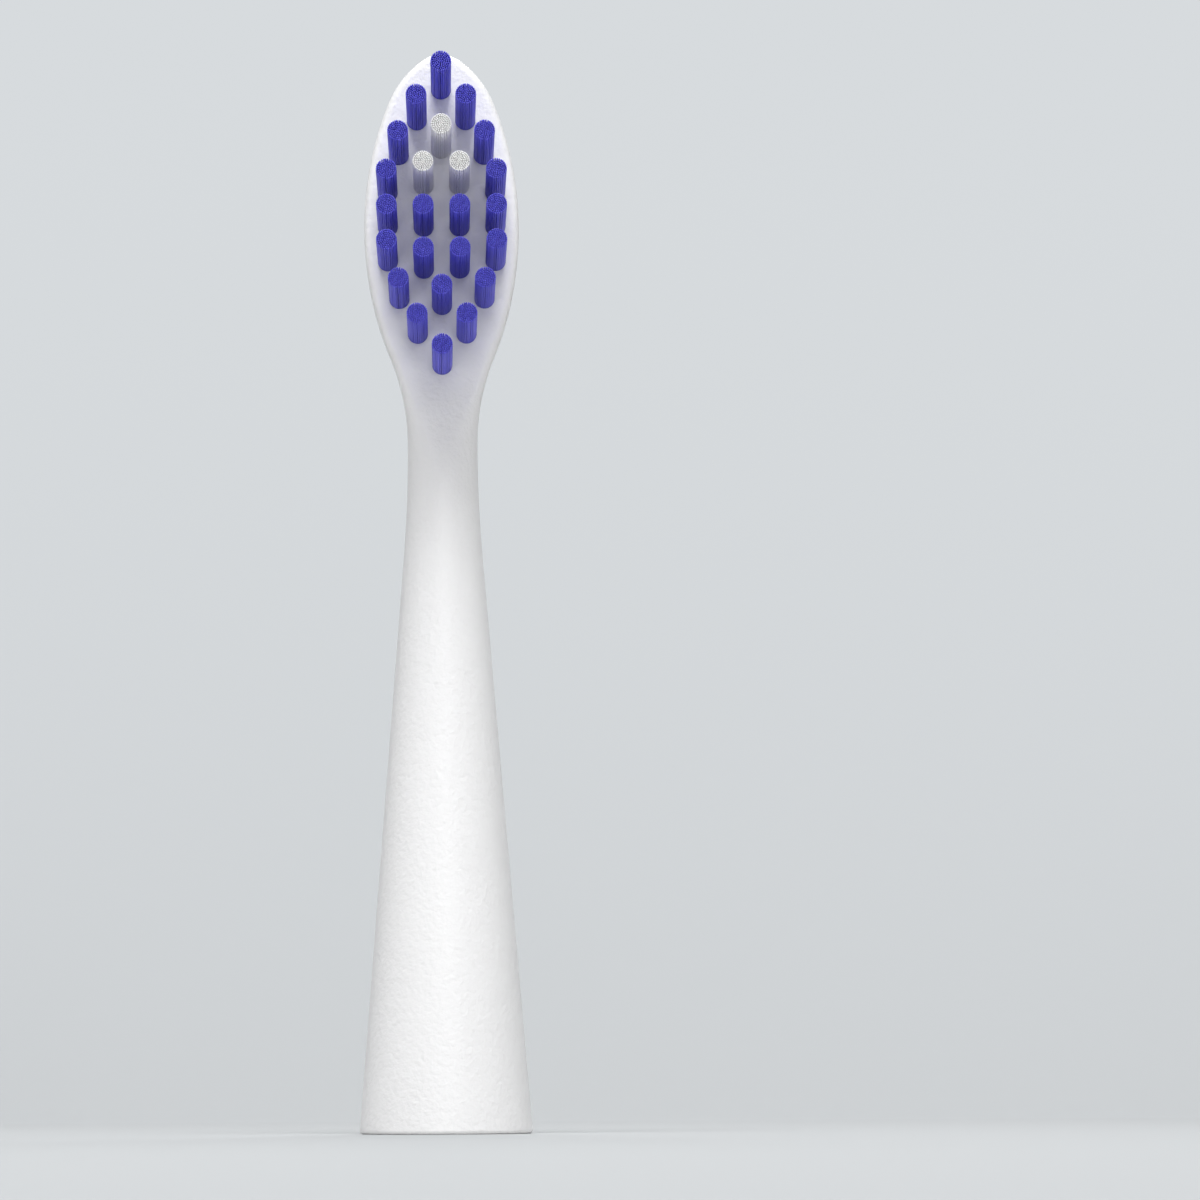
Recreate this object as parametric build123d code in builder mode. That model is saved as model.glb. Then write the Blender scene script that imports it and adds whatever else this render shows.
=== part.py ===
"""Push-on brush head for a sonic toothbrush, in millimetres.

The shaft axis is +Z, the base rim lies on Z = 0, and the tufts point to -Y.
"""

import os
from math import sqrt

from build123d import *

os.makedirs("parts", exist_ok=True)

# Neck of the moulded body: a cone that levels out towards the waist
overall_length = 85.0
base_diameter = 13.5
base_rim_chamfer = 0.3
waist_diameter = 5.5
waist_below_head = 3.1
neck_bend_diameter = 6.25
neck_bend_drop = 9.3
run_out_length = 5.5
run_out_drop = 1.05

# Head of the moulded body: a plate with an egg-shaped outline
head_width = 12.2
head_length = 27.9
tip_radius = 3.7
face_depth = 2.1
back_depth = 2.5
face_edge_radius = 0.6
back_edge_radius = 2.2
shoulder_overlap = 1.5
shoulder_foot = 4.0
shoulder_set_in = 0.12
shoulder_round_radius = 8.0

# Socket in the neck, and the sleeve that is pressed into it
recess_diameter = 10.4
recess_depth = 6.5
socket_depth = 28.0
sleeve_diameter = 6.8
flange_diameter = 9.0
flange_thickness = 1.5
shaft_diameter = 4.0
lead_in = 0.5
guide_length = 14.0
key_diameter = 3.4
key_length = 6.0
key_flat_depth = 0.5

# Spring clip that grips the shaft
clip_width = 2.2
clip_thickness = 0.3
clip_length = 7.2
clip_grip = 0.15
clip_pocket_depth = 1.0
clip_side_clearance = 0.1

# Tufts and their anchors
tuft_diameter = 1.6
tuft_height = 9.6
tuft_end_rise = 0.8
ring_side_margin = 1.86
ring_side_pitch = 2.75
ring_end_margin = 2.95
ring_arc_radius = 17.0
core_row_pitch = 3.35
core_end_pitch = 2.9
hole_depth = 3.2
anchor_height = 1.4
anchor_thickness = 0.25
anchor_turn = 20

base_radius = base_diameter / 2
waist_radius = waist_diameter / 2
shaft_radius = shaft_diameter / 2
key_radius = key_diameter / 2
tuft_radius = tuft_diameter / 2
half_width = head_width / 2
head_centre = overall_length - head_length / 2
waist_height = overall_length - head_length - waist_below_head
shoulder_height = waist_height - shoulder_overlap

# The head's outline: tip, side and shoulder arcs that run into each other without corners
round_radius = waist_radius - shoulder_set_in
plate_waist = round_radius - shoulder_set_in
widening = half_width - plate_waist
tip_rise = head_length / 2 - tip_radius
shoulder_drop = head_centre - shoulder_height
side_radius = (half_width**2 + tip_rise**2 - tip_radius**2) / (2 * (half_width - tip_radius))
side_and_shoulder_radius = (widening**2 + shoulder_drop**2) / (2 * widening)
side_centre = half_width - side_radius
to_tip = side_radius / (side_radius - tip_radius)
to_shoulder = side_radius / side_and_shoulder_radius
tip_joint = (side_centre * (1 - to_tip), head_centre + to_tip * tip_rise)
shoulder_joint = (
    side_centre + to_shoulder * (side_and_shoulder_radius - widening),
    head_centre - to_shoulder * shoulder_drop,
)
plate_foot = shoulder_height - shoulder_foot

# Places of the tufts on the face, across and up from the head's centre
# The ring runs straight along each side and follows an arc to the tip and to the heel
field_length = head_length - 2 * ring_end_margin
ring_side = half_width - ring_side_margin
with BuildLine() as ring_end:
    RadiusArc((ring_side, ring_side_pitch), (0, field_length / 2), -ring_arc_radius)
upper_places = [((ring_end.line @ share).X, (ring_end.line @ share).Y) for share in (2 / 3, 1 / 3, 0)]
lower_places = [(across, -along) for across, along in reversed(upper_places)]

tuft_places = {
    "tuft_tip": (0, field_length / 2),
    "tuft_heel": (0, -field_length / 2),
    "tuft_core_tip": (0, core_row_pitch + core_end_pitch),
    "tuft_core_heel": (0, -core_row_pitch - core_end_pitch),
}
for side, name in ((-1, "left"), (1, "right")):
    for number, (across, along) in enumerate(upper_places + [(ring_side, 0)] + lower_places, 1):
        tuft_places[f"tuft_{name}_{number}"] = (side * across, along)
    for number in range(1, 4):
        tuft_places[f"tuft_core_{name}_{number}"] = (side * ring_side / 3, core_row_pitch * (2 - number))

face_plane = Plane((0, -face_depth, head_centre), x_dir=(1, 0, 0), z_dir=(0, -1, 0))
hole_floor_plane = face_plane.offset(-hole_depth)


# Body: the head's plate, rounded off towards the waist, then the neck, the socket and the tuft holes
with BuildPart() as brush_body:
    with BuildSketch(Plane.XZ.offset(face_depth)):
        with BuildLine():
            tip = TangentArc((0, overall_length), tip_joint, tangent=(1, 0))
            flank = TangentArc(tip @ 1, shoulder_joint, tangent=tip % 1)
            shoulder = TangentArc(flank @ 1, (plate_waist, shoulder_height), tangent=flank % 1)
            Polyline(shoulder @ 1, (plate_waist, plate_foot), (0, plate_foot))
            mirror(about=Plane.YZ)
        make_face()
    extrude(amount=-face_depth - back_depth)
    rounded = brush_body.edges().filter_by(lambda edge: edge.center().Z > plate_foot)
    fillet(rounded.group_by(Axis.Y)[-1], back_edge_radius)
    rounded = brush_body.edges().filter_by(lambda edge: edge.center().Z > plate_foot)
    fillet(rounded.group_by(Axis.Y)[0], face_edge_radius)
    with BuildSketch(Plane.XZ):
        with BuildLine():
            Polyline((0, overall_length), (0, plate_foot), (round_radius, plate_foot))
            stem = Line((round_radius, plate_foot), (round_radius, shoulder_height))
            flare = TangentArc(
                stem @ 1,
                (round_radius + shoulder_round_radius, shoulder_height + shoulder_round_radius),
                tangent=stem % 1,
            )
            Polyline(flare @ 1, ((flare @ 1).X, overall_length), (0, overall_length))
        make_face()
    revolve(axis=Axis.Z, mode=Mode.INTERSECT)
    with BuildSketch(Plane.XZ):
        with BuildLine():
            Polyline(
                (0, 0),
                (base_radius, 0),
                (neck_bend_diameter / 2, waist_height - neck_bend_drop),
                (waist_radius, waist_height),
                (waist_radius - run_out_drop, waist_height + run_out_length),
                (0, waist_height + run_out_length),
                close=True,
            )
        make_face()
    revolve(axis=Axis.Z)
    chamfer(brush_body.faces().sort_by(Axis.Z)[0].edges(), base_rim_chamfer)
    with BuildSketch(Plane.XY):
        Circle(recess_diameter / 2)
    extrude(amount=recess_depth, mode=Mode.SUBTRACT)
    with BuildSketch(Plane.XY):
        Circle(sleeve_diameter / 2)
    extrude(amount=socket_depth, mode=Mode.SUBTRACT)
    with BuildSketch(hole_floor_plane):
        with Locations(*tuft_places.values()):
            Circle(tuft_radius)
    extrude(amount=2 * hole_depth, mode=Mode.SUBTRACT)

brush_body.part.label = "brush_body"
export_step(brush_body.part, "parts/brush_body.step")


# Sleeve that takes the drive shaft: a round guide, a flatted key above it, and the clip's pocket
sleeve_mouth = recess_depth - flange_thickness
key_start = sleeve_mouth + lead_in + guide_length
clip_floor = socket_depth - clip_length
pocket_back = key_radius + clip_pocket_depth

with BuildPart() as shaft_sleeve:
    with BuildSketch(Plane.XY.offset(sleeve_mouth)):
        Circle(flange_diameter / 2)
    extrude(amount=flange_thickness)
    with BuildSketch(Plane.XY.offset(sleeve_mouth)):
        Circle(sleeve_diameter / 2)
    extrude(amount=socket_depth - sleeve_mouth)
    with BuildSketch(Plane.XZ):
        with BuildLine():
            Polyline(
                (0, sleeve_mouth),
                (shaft_radius + lead_in, sleeve_mouth),
                (shaft_radius, sleeve_mouth + lead_in),
                (shaft_radius, key_start),
                (0, key_start),
                close=True,
            )
        make_face()
    revolve(axis=Axis.Z, mode=Mode.SUBTRACT)
    with BuildSketch(Plane.XY.offset(key_start)):
        Circle(key_radius)
        with Locations((0, key_radius - key_flat_depth)):
            Rectangle(key_diameter, key_diameter, align=(Align.CENTER, Align.MIN), mode=Mode.SUBTRACT)
    extrude(amount=key_length, mode=Mode.SUBTRACT)
    with BuildSketch(Plane.XY.offset(clip_floor)):
        with Locations((0, -pocket_back)):
            Rectangle(
                clip_width + 2 * clip_side_clearance,
                clip_pocket_depth + clip_grip,
                align=(Align.CENTER, Align.MIN),
            )
    extrude(amount=clip_length, mode=Mode.SUBTRACT)

shaft_sleeve.part.label = "shaft_sleeve"
export_step(shaft_sleeve.part, "parts/shaft_sleeve.step")


# Spring clip: a steel leaf bowed towards the shaft, held between the pocket's floor and the socket's end
bow = clip_pocket_depth + clip_grip - clip_thickness
clip_middle = clip_floor + clip_length / 2

with BuildPart() as spring_clip:
    with BuildSketch(Plane.YZ):
        with BuildLine():
            outside = ThreePointArc(
                (-pocket_back, clip_floor),
                (bow - pocket_back, clip_middle),
                (-pocket_back, socket_depth),
            )
            inside = ThreePointArc(
                (clip_thickness - pocket_back, clip_floor),
                (clip_thickness + bow - pocket_back, clip_middle),
                (clip_thickness - pocket_back, socket_depth),
            )
            Line(outside @ 0, inside @ 0)
            Line(outside @ 1, inside @ 1)
        make_face()
    extrude(amount=clip_width / 2, both=True)

spring_clip.part.label = "spring_clip"
export_step(spring_clip.part, "parts/spring_clip.step")


# Anchors: one flat of wire wedged across the floor of each tuft hole
anchor_length = 2 * sqrt(tuft_radius**2 - (anchor_thickness / 2) ** 2)

with BuildPart() as tuft_anchors:
    with BuildSketch(hole_floor_plane):
        with Locations(*tuft_places.values()):
            Rectangle(anchor_length, anchor_thickness, rotation=anchor_turn)
    extrude(amount=anchor_height)

tuft_anchors.part.label = "tuft_anchors"
export_step(tuft_anchors.part, "parts/tuft_anchors.step")


# Tufts: bundles that straddle their anchors, trimmed a little longer towards both ends of the field
for name, place in tuft_places.items():
    end_share = abs(place[1]) / (field_length / 2)
    with BuildPart() as tuft:
        with BuildSketch(hole_floor_plane):
            with Locations(place):
                Circle(tuft_radius)
        extrude(amount=hole_depth + tuft_height + tuft_end_rise * end_share**4)
        with BuildSketch(hole_floor_plane):
            with Locations(place):
                Rectangle(tuft_diameter, anchor_thickness, rotation=anchor_turn)
        extrude(amount=anchor_height, mode=Mode.SUBTRACT)
    tuft.part.label = name
    export_step(tuft.part, f"parts/{name}.step")
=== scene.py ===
import math
import random

import bpy
from mathutils import Euler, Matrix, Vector


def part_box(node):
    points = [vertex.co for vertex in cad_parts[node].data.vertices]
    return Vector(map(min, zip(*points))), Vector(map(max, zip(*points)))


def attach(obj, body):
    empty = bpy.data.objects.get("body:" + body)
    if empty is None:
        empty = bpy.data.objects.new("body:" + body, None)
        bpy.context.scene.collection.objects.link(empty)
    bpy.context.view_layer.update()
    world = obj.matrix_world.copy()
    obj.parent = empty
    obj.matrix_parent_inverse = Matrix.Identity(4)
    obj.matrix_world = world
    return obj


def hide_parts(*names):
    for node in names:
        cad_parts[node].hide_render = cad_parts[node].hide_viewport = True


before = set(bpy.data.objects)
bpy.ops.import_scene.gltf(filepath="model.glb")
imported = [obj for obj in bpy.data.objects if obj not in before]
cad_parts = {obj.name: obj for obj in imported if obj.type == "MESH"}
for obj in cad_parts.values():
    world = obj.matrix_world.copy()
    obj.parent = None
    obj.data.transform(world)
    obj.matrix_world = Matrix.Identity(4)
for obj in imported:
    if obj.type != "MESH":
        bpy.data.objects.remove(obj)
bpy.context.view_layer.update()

# Brush body
# The real piece is one white polypropylene moulding: an egg-shaped head with a flat face, a waist and a
# hollow tapered neck. It is moulded in one shot, with the tuft holes and the socket left open by cores.
mm = 0.001
head_middle = 71.05
half_head = 6.1
side_arc = 26.769
side_end = math.radians(21.88)
nose_arc = 8.0
nose_end = math.radians(54)
waist_radius = 2.74
waist_height = 54.0
waist_arc = 110.0
cone_top = 45.15
base_rim = 0.3
face_depth = 2.1
back_depth = 2.5
face_edge = 0.6
back_edge = 2.2
face_end = 59.0
neck_start = 50.5
recess_radius = 5.2
recess_depth = 6.5
edge_break = 0.15
seat_radius = 3.4
seat_length = 21.5

# The outline of one half, from the tip down: arcs that run into each other, then the straight neck
widening = half_head - waist_radius
drop = head_middle - waist_height
shoulder_arc = (widening**2 + drop**2) / (2 * widening) - side_arc
shoulder_turn = math.asin(drop / (side_arc + shoulder_arc))
side_x = half_head - side_arc
nose_x = side_x + (side_arc - nose_arc) * math.cos(side_end)
nose_z = head_middle + (side_arc - nose_arc) * math.sin(side_end)
tip_arc = nose_arc + nose_x / math.cos(nose_end)
tip_z = nose_z - nose_x * math.tan(nose_end)
neck_taper = math.asin((waist_height - cone_top) / waist_arc)
outline = [(0, tip_z + tip_arc, math.pi / 2)]


def follow_arc(centre_x, centre_z, radius, start, end, steps):
    """Carry the outline on round a centre. A radius below nought gives a hollow curve."""
    for step in range(1, steps + 1):
        turn = start + (end - start) * step / steps
        outline.append((centre_x + radius * math.cos(turn), centre_z + radius * math.sin(turn), turn))


follow_arc(0, tip_z, tip_arc, math.pi / 2, nose_end, 10)
follow_arc(nose_x, nose_z, nose_arc, nose_end, side_end, 10)
follow_arc(side_x, head_middle, side_arc, side_end, -shoulder_turn, 28)
follow_arc(waist_radius + shoulder_arc, waist_height, -shoulder_arc, -shoulder_turn, 0, 20)
follow_arc(waist_radius + waist_arc, waist_height, -waist_arc, 0, neck_taper, 10)
cone_top_radius = outline[-1][0]
cone_steps = 15
for step in range(1, cone_steps + 1):
    height = cone_top + (base_rim - cone_top) * step / cone_steps
    outline.append((cone_top_radius + (cone_top - height) * math.tan(neck_taper), height, neck_taper))
ring_radius = outline[-1][0] - base_rim
follow_arc(ring_radius, base_rim, base_rim, 0, -math.pi / 2, 4)

# A grid is wrapped round that outline. Across it run the face, its edge, the side, the back edge and the
# back, and below the face these go over little by little into the round neck.
front_steps = 14
back_steps = 14
side_column = front_steps + 2
around = front_steps + back_steps + 4
rows = len(outline) - 1
bpy.ops.object.select_all(action="DESELECT")
bpy.ops.mesh.primitive_grid_add(x_subdivisions=around, y_subdivisions=rows, size=1)
body = bpy.context.object
body.name = "brush_body_moulding"
for vertex in body.data.vertices:
    column = round((vertex.co.x + 0.5) * around)
    across, height, turn = outline[round((0.5 - vertex.co.y) * rows)]
    share = min(max((face_end - height) / (face_end - neck_start), 0), 1)
    share = share * share * (3 - 2 * share)
    out_x = math.cos(turn) * (1 - share) + share
    out_z = math.sin(turn) * (1 - share)
    length = math.hypot(out_x, out_z)
    out_x /= length
    out_z /= length
    front = face_depth + (across - face_depth) * share
    back = back_depth + (across - back_depth) * share
    front_round = face_edge + (across - face_edge) * share
    back_round = back_edge + (across - back_edge) * share
    if column < side_column:
        angle = math.pi / 2 * max(column - 1, 0) / front_steps
        inset = front_round * (1 - math.sin(angle))
        depth = -front + front_round * (1 - math.cos(angle))
    elif column == side_column:
        inset = 0
        depth = (front_round - front + back - back_round) / 2
    else:
        angle = math.pi / 2 * min(column - side_column - 1, back_steps) / back_steps
        inset = back_round * (1 - math.cos(angle))
        depth = back - back_round * (1 - math.sin(angle))
    place_x = 0 if column in (0, around) else max(across - inset * out_x, 0)
    vertex.co = (place_x * mm, depth * mm, (height - inset * out_z) * mm)

bpy.ops.object.modifier_add(type="MIRROR")
body.modifiers[-1].merge_threshold = 0.0001 * mm
bpy.ops.object.modifier_apply(modifier=body.modifiers[-1].name)
bpy.ops.object.mode_set(mode="EDIT")
bpy.ops.mesh.select_all(action="SELECT")
bpy.ops.mesh.remove_doubles(threshold=0.001 * mm)
bpy.ops.mesh.normals_make_consistent(inside=False)


def draw_ring(radius, profile):
    """Draw the selected ring of edges on through a profile of radii and rises, and close its end."""
    for next_radius, rise in profile:
        bpy.ops.mesh.extrude_edges_move(TRANSFORM_OT_translate={"value": (0, 0, rise * mm)})
        factor = next_radius / radius
        bpy.ops.transform.resize(value=(factor, factor, 1), center_override=(0, 0, 0))
        radius = next_radius
    bpy.ops.mesh.edge_face_add()


# The socket is drawn in from the open base: rim, recess for the handle's collar, ledge and sleeve seat
bpy.ops.mesh.select_all(action="DESELECT")
bpy.ops.mesh.select_mode(type="EDGE")
bpy.ops.mesh.select_non_manifold(extend=False)
draw_ring(
    ring_radius,
    (
        (recess_radius + edge_break, 0),
        (recess_radius, edge_break),
        (recess_radius, recess_depth - edge_break),
        (seat_radius, 0),
        (seat_radius, seat_length),
    ),
)
bpy.ops.mesh.select_all(action="SELECT")
bpy.ops.mesh.normals_make_consistent(inside=False)
bpy.ops.mesh.select_mode(type="FACE")
bpy.ops.mesh.select_all(action="DESELECT")
bpy.ops.object.mode_set(mode="OBJECT")

# The flat face and back become one polygon each before the tuft holes are cut
flatness = 0.001
for polygon in body.data.polygons:
    height = polygon.center.z / mm
    in_face = abs(polygon.center.y / mm + face_depth) < flatness
    in_back = abs(polygon.center.y / mm - back_depth) < flatness
    polygon.select = height > face_end and (in_face or in_back)
bpy.ops.object.mode_set(mode="EDIT")
bpy.ops.mesh.dissolve_limited(angle_limit=math.radians(0.05))
bpy.ops.object.mode_set(mode="OBJECT")

tuft_names = [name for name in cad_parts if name.startswith("tuft_") and name != "tuft_anchors"]
hole_sides = 40
hole_cut = 8 * mm
bpy.ops.object.select_all(action="DESELECT")
cutters = []
for name in tuft_names:
    low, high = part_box(name)
    bpy.ops.mesh.primitive_cylinder_add(
        vertices=hole_sides,
        radius=(high[0] - low[0]) / 2,
        depth=hole_cut,
        location=((low[0] + high[0]) / 2, high[1] - hole_cut / 2, (low[2] + high[2]) / 2),
        rotation=(math.pi / 2, 0, 0),
    )
    cutters.append(bpy.context.object)
for cutter in cutters:
    cutter.select_set(True)
bpy.ops.object.join()
hole_cutter = bpy.context.object
bpy.ops.object.transform_apply()


def cut_away(piece, cutter):
    """Cut the cutter's shape out of a piece, and take the cutter away."""
    bpy.ops.object.select_all(action="DESELECT")
    piece.select_set(True)
    bpy.context.view_layer.objects.active = piece
    bpy.ops.object.modifier_add(type="BOOLEAN")
    piece.modifiers[-1].object = cutter
    piece.modifiers[-1].operation = "DIFFERENCE"
    bpy.ops.object.modifier_apply(modifier=piece.modifiers[-1].name)
    bpy.data.objects.remove(cutter)


cut_away(body, hole_cutter)
bpy.ops.object.shade_smooth_by_angle(angle=math.radians(32))
bpy.ops.object.modifier_add(type="WEIGHTED_NORMAL")
body.modifiers[-1].keep_sharp = True
bpy.ops.object.modifier_apply(modifier=body.modifiers[-1].name)


def moulded_plastic(name, colour, roughness, grains, strength, depth):
    """Plastic with the fine grain that an eroded mould leaves, in grains to the metre."""
    material = bpy.data.materials.new(name)
    material.use_nodes = True
    nodes = material.node_tree.nodes
    links = material.node_tree.links
    shader = nodes["Principled BSDF"]
    shader.inputs["Base Color"].default_value = colour
    shader.inputs["Roughness"].default_value = roughness
    place = nodes.new("ShaderNodeTexCoord")
    grain = nodes.new("ShaderNodeTexNoise")
    grain.inputs["Scale"].default_value = grains
    bump = nodes.new("ShaderNodeBump")
    bump.inputs["Strength"].default_value = strength
    bump.inputs["Distance"].default_value = depth
    links.new(place.outputs["Object"], grain.inputs["Vector"])
    links.new(grain.outputs["Fac"], bump.inputs["Height"])
    links.new(bump.outputs["Normal"], shader.inputs["Normal"])
    return material


white_plastic = moulded_plastic("white_moulded_plastic", (0.845, 0.845, 0.848, 1), 0.42, 2200, 1, 0.07 * mm)
shader = white_plastic.node_tree.nodes["Principled BSDF"]
shader.inputs["Subsurface Weight"].default_value = 0.12
shader.inputs["Subsurface Radius"].default_value = (1, 1, 1)
shader.inputs["Subsurface Scale"].default_value = 0.6 * mm
body.data.materials.clear()
body.data.materials.append(white_plastic)
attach(body, "root")
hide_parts("brush_body")

# Shaft sleeve
# A stiffer grey nylon bush, moulded apart and pressed into the neck until its flange meets the ledge.
# Its round guide runs on the handle's shaft, and the flatted end above it keeps the head from turning.
mouth_height = 5.0
mouth_radius = 2.5
flange_radius = 4.5
flange_thickness = 1.5
top_bevel = 0.3
guide_radius = 2.0
guide_length = 14.0
key_radius = 1.7
key_length = 6.0
key_flat = 1.2
pocket_width = 2.4
pocket_depth = 1.15
pocket_back = 2.7
pocket_floor = 20.8
pocket_cut = 8.2
near = 0.001 * mm
outside = (
    (flange_radius - edge_break, 0),
    (flange_radius, edge_break),
    (flange_radius, flange_thickness - edge_break),
    (seat_radius, 0),
    (seat_radius, seat_length - top_bevel),
    (seat_radius - top_bevel, top_bevel),
)
inside = (
    (guide_radius, mouth_radius - guide_radius),
    (guide_radius, guide_length),
    (key_radius, 0),
    (key_radius, key_length),
)
bpy.ops.object.select_all(action="DESELECT")
bpy.ops.mesh.primitive_circle_add(vertices=64, radius=mouth_radius * mm, location=(0, 0, mouth_height * mm))
sleeve = bpy.context.object
sleeve.name = "shaft_sleeve_bush"
bpy.ops.object.transform_apply()
bpy.ops.object.mode_set(mode="EDIT")
bpy.ops.mesh.select_mode(type="EDGE")
for profile in (outside, inside):
    bpy.ops.mesh.select_all(action="DESELECT")
    bpy.ops.object.mode_set(mode="OBJECT")
    for edge in sleeve.data.edges:
        ends = [sleeve.data.vertices[index].co for index in edge.vertices]
        at_mouth = all(abs(end.z - mouth_height * mm) < near for end in ends)
        edge.select = at_mouth and all(end.xy.length < mouth_radius * mm + near for end in ends)
    bpy.ops.object.mode_set(mode="EDIT")
    draw_ring(mouth_radius, profile)
bpy.ops.mesh.select_all(action="SELECT")
bpy.ops.mesh.normals_make_consistent(inside=False)
bpy.ops.object.mode_set(mode="OBJECT")
for vertex in sleeve.data.vertices:
    if vertex.co.xy.length < key_radius * mm + near:
        vertex.co.y = min(vertex.co.y, key_flat * mm)
bpy.ops.mesh.primitive_cube_add(
    size=1,
    location=(0, (pocket_depth / 2 - pocket_back) * mm, (pocket_floor + pocket_cut / 2) * mm),
    scale=(pocket_width * mm, pocket_depth * mm, pocket_cut * mm),
)
pocket_cutter = bpy.context.object
bpy.ops.object.transform_apply()
cut_away(sleeve, pocket_cutter)
bpy.ops.object.shade_smooth_by_angle(angle=math.radians(30))
grey_nylon = moulded_plastic("grey_bush_nylon", (0.50, 0.52, 0.54, 1), 0.48, 3500, 0.15, 0.02 * mm)
sleeve.data.materials.clear()
sleeve.data.materials.append(grey_nylon)
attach(sleeve, "root")
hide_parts("shaft_sleeve")

# Spring clip
# A leaf of spring steel, cut from rolled strip and bowed, that sits in the sleeve's pocket and presses
# on the shaft. The leaf from the solids is kept, with the fine lines that rolling leaves along it.
spring_steel = bpy.data.materials.new("rolled_spring_steel")
spring_steel.use_nodes = True
nodes = spring_steel.node_tree.nodes
links = spring_steel.node_tree.links
shader = nodes["Principled BSDF"]
shader.inputs["Base Color"].default_value = (0.58, 0.58, 0.60, 1)
shader.inputs["Metallic"].default_value = 1
place = nodes.new("ShaderNodeTexCoord")
stretch = nodes.new("ShaderNodeMapping")
stretch.inputs["Scale"].default_value = (9000, 9000, 250)
lines = nodes.new("ShaderNodeTexNoise")
lines.inputs["Scale"].default_value = 1
sheen = nodes.new("ShaderNodeMapRange")
sheen.inputs["To Min"].default_value = 0.22
sheen.inputs["To Max"].default_value = 0.42
links.new(place.outputs["Object"], stretch.inputs["Vector"])
links.new(stretch.outputs["Vector"], lines.inputs["Vector"])
links.new(lines.outputs["Fac"], sheen.inputs["Value"])
links.new(sheen.outputs["Result"], shader.inputs["Roughness"])
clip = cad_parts["spring_clip"]
clip.data.materials.clear()
clip.data.materials.append(spring_steel)

# Tuft anchors
# Flats chopped from half-hard brass wire, one driven across the floor of each tuft hole over the fold of
# the filaments. The small plates from the solids are kept, with the dull bloom of drawn brass.
anchor_brass = bpy.data.materials.new("drawn_anchor_brass")
anchor_brass.use_nodes = True
nodes = anchor_brass.node_tree.nodes
links = anchor_brass.node_tree.links
shader = nodes["Principled BSDF"]
shader.inputs["Metallic"].default_value = 1
shader.inputs["Roughness"].default_value = 0.38
place = nodes.new("ShaderNodeTexCoord")
bloom = nodes.new("ShaderNodeTexNoise")
bloom.inputs["Scale"].default_value = 1800
tint = nodes.new("ShaderNodeValToRGB")
tint.color_ramp.elements[0].color = (0.60, 0.44, 0.20, 1)
tint.color_ramp.elements[1].color = (0.76, 0.60, 0.32, 1)
links.new(place.outputs["Object"], bloom.inputs["Vector"])
links.new(bloom.outputs["Fac"], tint.inputs["Fac"])
links.new(tint.outputs["Color"], shader.inputs["Base Color"])
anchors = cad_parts["tuft_anchors"]
anchors.data.materials.clear()
anchors.data.materials.append(anchor_brass)

# Tufts
# Each tuft is a bundle of nylon filaments, folded over its anchor in a blind hole and trimmed level.
# The filaments are extruded round, about 0.14 mm thick, and their cut ends are polished to small domes.
filament_radius = 0.07 * mm
filament_pitch = 0.145 * mm
filament_sides = 6
filament_rings = 5
ring_jitter = 0.12
blank_length = 1
dome = ((0.03 * mm, 0.86), (0.025 * mm, 0.55))
dome_height = sum(rise for rise, factor in dome)
unevenness = 0.05 * mm
splay = 1.02
anchor_turn = math.radians(20)
anchor_height = 1.4 * mm
anchor_half = 0.125 * mm
random.seed(24)
bundles = []
for variant in range(3):
    spots = [Vector((0, 0))]
    for ring in range(1, filament_rings + 1):
        start = random.uniform(0, math.tau)
        in_ring = 6 * ring
        for step in range(in_ring):
            angle = start + math.tau * (step + random.uniform(-ring_jitter, ring_jitter)) / in_ring
            spots.append(Vector((math.cos(angle), math.sin(angle))) * ring * filament_pitch)

    # One long filament blank with a domed end, copied to every spot of the bundle
    bpy.ops.object.select_all(action="DESELECT")
    bpy.ops.mesh.primitive_cylinder_add(
        vertices=filament_sides,
        radius=filament_radius,
        depth=blank_length,
        location=(0, 0, blank_length / 2),
    )
    bundle = bpy.context.object
    bpy.ops.object.transform_apply()
    bpy.ops.object.mode_set(mode="EDIT")
    bpy.ops.mesh.select_mode(type="FACE")
    bpy.ops.mesh.select_all(action="DESELECT")
    bpy.ops.object.mode_set(mode="OBJECT")
    for polygon in bundle.data.polygons:
        polygon.select = polygon.normal.z > 0.9
    bpy.ops.object.mode_set(mode="EDIT")
    for rise, factor in dome:
        bpy.ops.mesh.extrude_region_move(TRANSFORM_OT_translate={"value": (0, 0, rise)})
        bpy.ops.transform.resize(value=(factor, factor, 1), center_override=(0, 0, 0))
    bpy.ops.object.mode_set(mode="OBJECT")
    copies = [bundle]
    while len(copies) < len(spots):
        bpy.ops.object.duplicate()
        copies.append(bpy.context.object)
    for copy, spot in zip(copies, spots):
        copy.location = (spot.x, spot.y, 0)
        copy.rotation_euler = (0, 0, random.uniform(0, math.tau / filament_sides))
    for copy in copies:
        copy.select_set(True)
    bpy.context.view_layer.objects.active = bundle
    bpy.ops.object.join()
    bpy.ops.object.transform_apply()

    # Each filament gets its own shade and trim, and stands on its anchor where that is in its way
    faces_each = len(bundle.data.polygons) // len(spots)
    vertices_each = len(bundle.data.vertices) // len(spots)
    shades = [random.random() for spot in spots]
    tone = bundle.data.attributes.new("filament_tone", "FLOAT", "FACE")
    tone.data.foreach_set("value", [shade for shade in shades for face in range(faces_each)])
    for number, spot in enumerate(spots):
        trim = random.uniform(0, unevenness)
        from_anchor = abs(spot.y * math.cos(anchor_turn) - spot.x * math.sin(anchor_turn))
        foot = anchor_height if from_anchor < anchor_half + filament_radius else 0
        for vertex in bundle.data.vertices[number * vertices_each : (number + 1) * vertices_each]:
            if vertex.co.z > blank_length / 2:
                vertex.co.x *= splay
                vertex.co.y *= splay
                vertex.co.z -= trim
            else:
                vertex.co.z += foot
    bundles.append(bundle)


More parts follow.
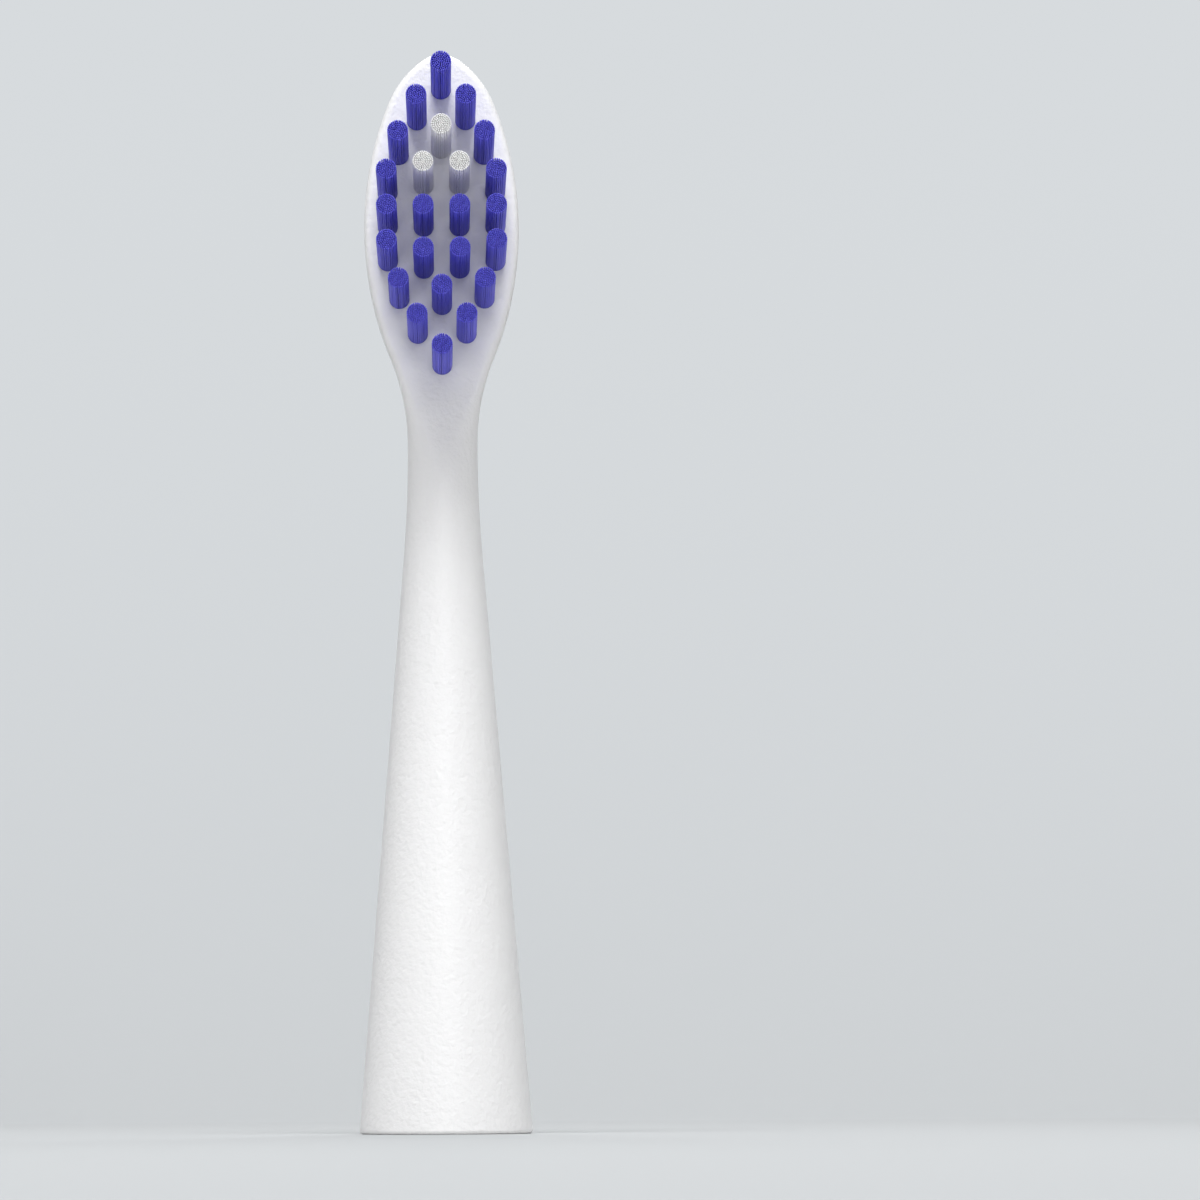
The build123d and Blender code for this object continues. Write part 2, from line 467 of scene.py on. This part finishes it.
def nylon(name, pale, deep):
    """Filament nylon whose shade differs a little from one filament to the next."""
    material = bpy.data.materials.new(name)
    material.use_nodes = True
    nodes = material.node_tree.nodes
    links = material.node_tree.links
    shader = nodes["Principled BSDF"]
    shader.inputs["Roughness"].default_value = 0.45
    shader.inputs["Specular IOR Level"].default_value = 0.15
    shader.inputs["Subsurface Weight"].default_value = 0.2
    shader.inputs["Subsurface Radius"].default_value = (1, 1, 1)
    shader.inputs["Subsurface Scale"].default_value = 0.3 * mm
    tone = nodes.new("ShaderNodeAttribute")
    tone.attribute_name = "filament_tone"
    shades = nodes.new("ShaderNodeValToRGB")
    shades.color_ramp.elements[0].color = deep
    shades.color_ramp.elements[1].color = pale
    links.new(tone.outputs["Fac"], shades.inputs["Fac"])
    links.new(shades.outputs["Color"], shader.inputs["Base Color"])
    return material


indigo_nylon = nylon("indigo_nylon_filament", (0.14, 0.134, 0.72, 1), (0.084, 0.08, 0.55, 1))
white_nylon = nylon("white_nylon_filament", (0.96, 0.96, 0.95, 1), (0.88, 0.88, 0.88, 1))
white_names = ("tuft_core_tip", "tuft_core_left_1", "tuft_core_right_1")
for number, name in enumerate(tuft_names):
    low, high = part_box(name)
    bpy.ops.object.select_all(action="DESELECT")
    source = bundles[number % len(bundles)]
    source.select_set(True)
    bpy.context.view_layer.objects.active = source
    bpy.ops.object.duplicate()
    tuft = bpy.context.object
    tuft.name = name + "_filaments"
    length = high[1] - low[1]
    for vertex in tuft.data.vertices:
        if vertex.co.z > blank_length / 2:
            vertex.co.z += length - blank_length - dome_height
    tuft.rotation_mode = "XYZ"
    tuft.rotation_euler = (math.pi / 2, 0, 0)
    tuft.location = ((low[0] + high[0]) / 2, high[1], (low[2] + high[2]) / 2)
    bpy.ops.object.transform_apply()
    bpy.ops.object.shade_smooth_by_angle(angle=math.radians(65))
    white = name in white_names
    tuft.data.materials.clear()
    tuft.data.materials.append(white_nylon if white else indigo_nylon)
    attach(tuft, "root")
    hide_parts(name)
for source in bundles:
    bpy.data.objects.remove(source)

# Floor and backdrop
# A plain sweep of pale grey paper stands behind the brush head, with one soft bend between floor and wall.
# It is graduated: where it is seen, it fades from lit paper by the brush head to an even grey.
pale_grey = (0.68, 0.708, 0.73, 1)
sweep_width = 6
floor_front = -1.3
bend_start = 0.25
bend_radius = 0.3
bend_steps = 12
wall_height = 1.2
bpy.ops.object.select_all(action="DESELECT")
bpy.ops.mesh.primitive_plane_add(size=1)
sweep = bpy.context.object
sweep.name = "studio_sweep"
for vertex in sweep.data.vertices:
    vertex.co = (vertex.co.x * sweep_width, bend_start if vertex.co.y > 0 else floor_front, 0)
bpy.ops.object.mode_set(mode="EDIT")
bpy.ops.mesh.select_mode(type="EDGE")
bpy.ops.mesh.select_all(action="DESELECT")
bpy.ops.object.mode_set(mode="OBJECT")
for edge in sweep.data.edges:
    edge.select = all(sweep.data.vertices[index].co.y > 0 for index in edge.vertices)
bpy.ops.object.mode_set(mode="EDIT")
for step in range(bend_steps):
    start = math.pi / 2 * step / bend_steps
    end = math.pi / 2 * (step + 1) / bend_steps
    forward = bend_radius * (math.sin(end) - math.sin(start))
    up = bend_radius * (math.cos(start) - math.cos(end))
    bpy.ops.mesh.extrude_edges_move(TRANSFORM_OT_translate={"value": (0, forward, up)})
bpy.ops.mesh.extrude_edges_move(TRANSFORM_OT_translate={"value": (0, 0, wall_height)})
bpy.ops.mesh.select_all(action="SELECT")
bpy.ops.mesh.normals_make_consistent(inside=False)
bpy.ops.object.mode_set(mode="OBJECT")
bpy.ops.object.shade_smooth()


def seen_rays(nodes, links):
    """One where the background is looked at, straight or in a reflection, and nought where it gives light."""
    path = nodes.new("ShaderNodeLightPath")
    mirrored = nodes.new("ShaderNodeMath")
    seen = nodes.new("ShaderNodeMath")
    seen.use_clamp = True
    links.new(path.outputs["Is Glossy Ray"], mirrored.inputs[0])
    links.new(path.outputs["Is Transmission Ray"], mirrored.inputs[1])
    links.new(path.outputs["Is Camera Ray"], seen.inputs[0])
    links.new(mirrored.outputs["Value"], seen.inputs[1])
    return seen.outputs["Value"]


paper = bpy.data.materials.new("graduated_grey_paper")
paper.use_nodes = True
nodes = paper.node_tree.nodes
links = paper.node_tree.links
shader = nodes["Principled BSDF"]
shader.inputs["Roughness"].default_value = 0.9
seen = seen_rays(nodes, links)
tint = nodes.new("ShaderNodeMix")
tint.data_type = "RGBA"
tint.inputs["A"].default_value = (0.6, 0.6, 0.6, 1)
tint.inputs["B"].default_value = (0.42, 0.435, 0.445, 1)
place = nodes.new("ShaderNodeTexCoord")
away = nodes.new("ShaderNodeVectorMath")
away.operation = "LENGTH"
reach = nodes.new("ShaderNodeMapRange")
reach.interpolation_type = "SMOOTHSTEP"
reach.inputs["From Min"].default_value = 0.1
reach.inputs["From Max"].default_value = 0.6
far = nodes.new("ShaderNodeMath")
far.operation = "MULTIPLY"
haze = nodes.new("ShaderNodeEmission")
haze.inputs["Color"].default_value = pale_grey
blend = nodes.new("ShaderNodeMixShader")
links.new(seen, tint.inputs["Factor"])
links.new(tint.outputs["Result"], shader.inputs["Base Color"])
links.new(place.outputs["Object"], away.inputs["Vector"])
links.new(away.outputs["Value"], reach.inputs["Value"])
links.new(seen, far.inputs[0])
links.new(reach.outputs["Result"], far.inputs[1])
links.new(far.outputs["Value"], blend.inputs["Fac"])
links.new(shader.outputs["BSDF"], blend.inputs[1])
links.new(haze.outputs["Emission"], blend.inputs[2])
links.new(blend.outputs["Shader"], nodes["Material Output"].inputs["Surface"])
sweep.data.materials.append(paper)

# Light
# A large soft lamp hangs in front of the head and above it, so that each tuft shades what is below it.
# A weak lamp fills in from the front, another lights the back of the head, and the room is dim.
world = bpy.data.worlds.new("studio_room")
bpy.context.scene.world = world
world.use_nodes = True
nodes = world.node_tree.nodes
links = world.node_tree.links
dim_room = nodes["Background"]
dim_room.inputs["Color"].default_value = (1, 1, 1, 1)
dim_room.inputs["Strength"].default_value = 0.13
pale_room = nodes.new("ShaderNodeBackground")
pale_room.inputs["Color"].default_value = pale_grey
room = nodes.new("ShaderNodeMixShader")
links.new(seen_rays(nodes, links), room.inputs["Fac"])
links.new(dim_room.outputs["Background"], room.inputs[1])
links.new(pale_room.outputs["Background"], room.inputs[2])
links.new(room.outputs["Shader"], nodes["World Output"].inputs["Surface"])
aim = Vector((0, 0, 0.05))
for name, place, size, power in (
    ("key_lamp", (-0.015, -0.23, 0.57), 0.34, 3.95),
    ("front_lamp", (0.05, -0.95, 0.2), 0.35, 1.9),
    ("back_lamp", (0.05, 0.5, 0.5), 0.35, 3.0),
):
    bpy.ops.object.light_add(type="AREA", location=place)
    lamp = bpy.context.object
    lamp.name = name
    lamp.data.shape = "SQUARE"
    lamp.data.size = size
    lamp.data.energy = power
    lamp.rotation_euler = (aim - Vector(place)).to_track_quat("-Z", "Y").to_euler()

# Camera
# A long lens looks straight at the tufts from just above the floor, tilted up a little and rolled a trace.
# Its picture is shifted sideways, so that the brush head stands left of the middle.
bpy.ops.object.camera_add(location=(0, -0.364, 0.0025))
camera = bpy.context.object
tilt = Euler((math.radians(96.145), 0, 0)).to_matrix()
roll = Euler((0, 0, math.radians(-0.3))).to_matrix()
camera.rotation_euler = (tilt @ roll).to_euler()
camera.data.lens = 139.75
camera.data.sensor_width = 36
camera.data.shift_x = 0.1304
camera.data.clip_start = 0.01
bpy.context.scene.camera = camera
bpy.context.scene.view_settings.view_transform = "Standard"
